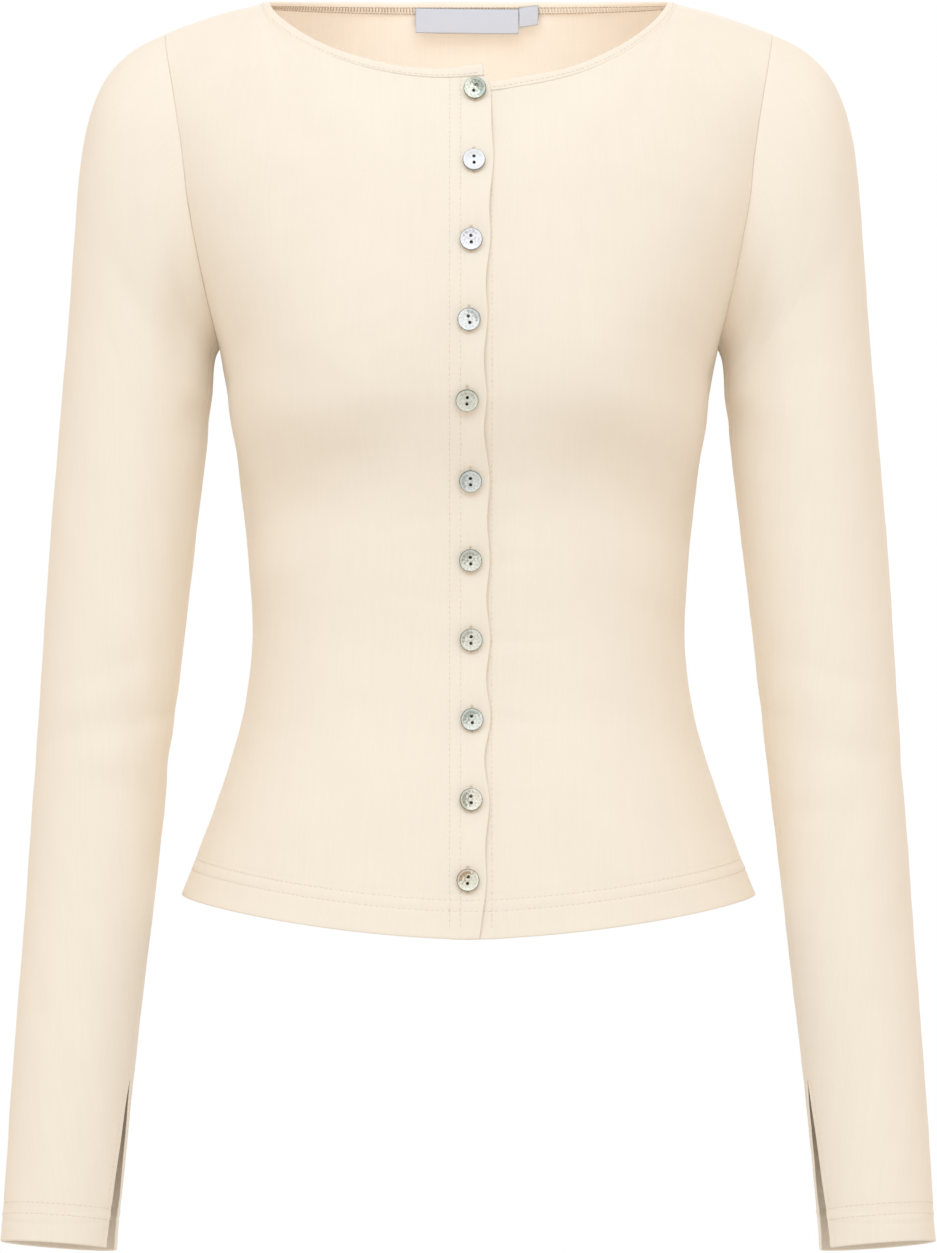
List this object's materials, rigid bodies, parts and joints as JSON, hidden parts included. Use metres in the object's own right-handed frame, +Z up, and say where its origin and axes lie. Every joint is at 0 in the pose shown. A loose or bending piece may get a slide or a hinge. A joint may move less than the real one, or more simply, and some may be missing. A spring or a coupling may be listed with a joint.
{
  "type": "button-through top",
  "caption": "Long-sleeved jersey top in its worn shape, open at neck, hem and cuffs, fastened down the front with shell buttons.",
  "frame": {"origin": "middle of the neck opening, level with the neck ends of the shoulder seams, where the wearer's shoulders hold the top", "axes": "+Z up the body, -Y towards the front, +X towards the wearer's left"},
  "size_m": [0.516, 0.2226, 0.7033],
  "materials": {
    "jersey": "matte",
    "shell": "gloss",
    "label": "satin"
  },
  "bodies": {
    "root": {"back": "jersey", "front_right": "jersey", "front_left": "jersey", "sleeve_right": "jersey", "sleeve_left": "jersey", "neck_binding": "jersey", "neck_label": "label", "size_tab": "label", "button_01": "shell", "button_02": "shell", "button_03": "shell", "button_04": "shell", "button_05": "shell", "button_06": "shell", "button_07": "shell", "button_08": "shell", "button_09": "shell", "button_10": "shell", "button_11": "shell"}
  },
  "joints": []
}
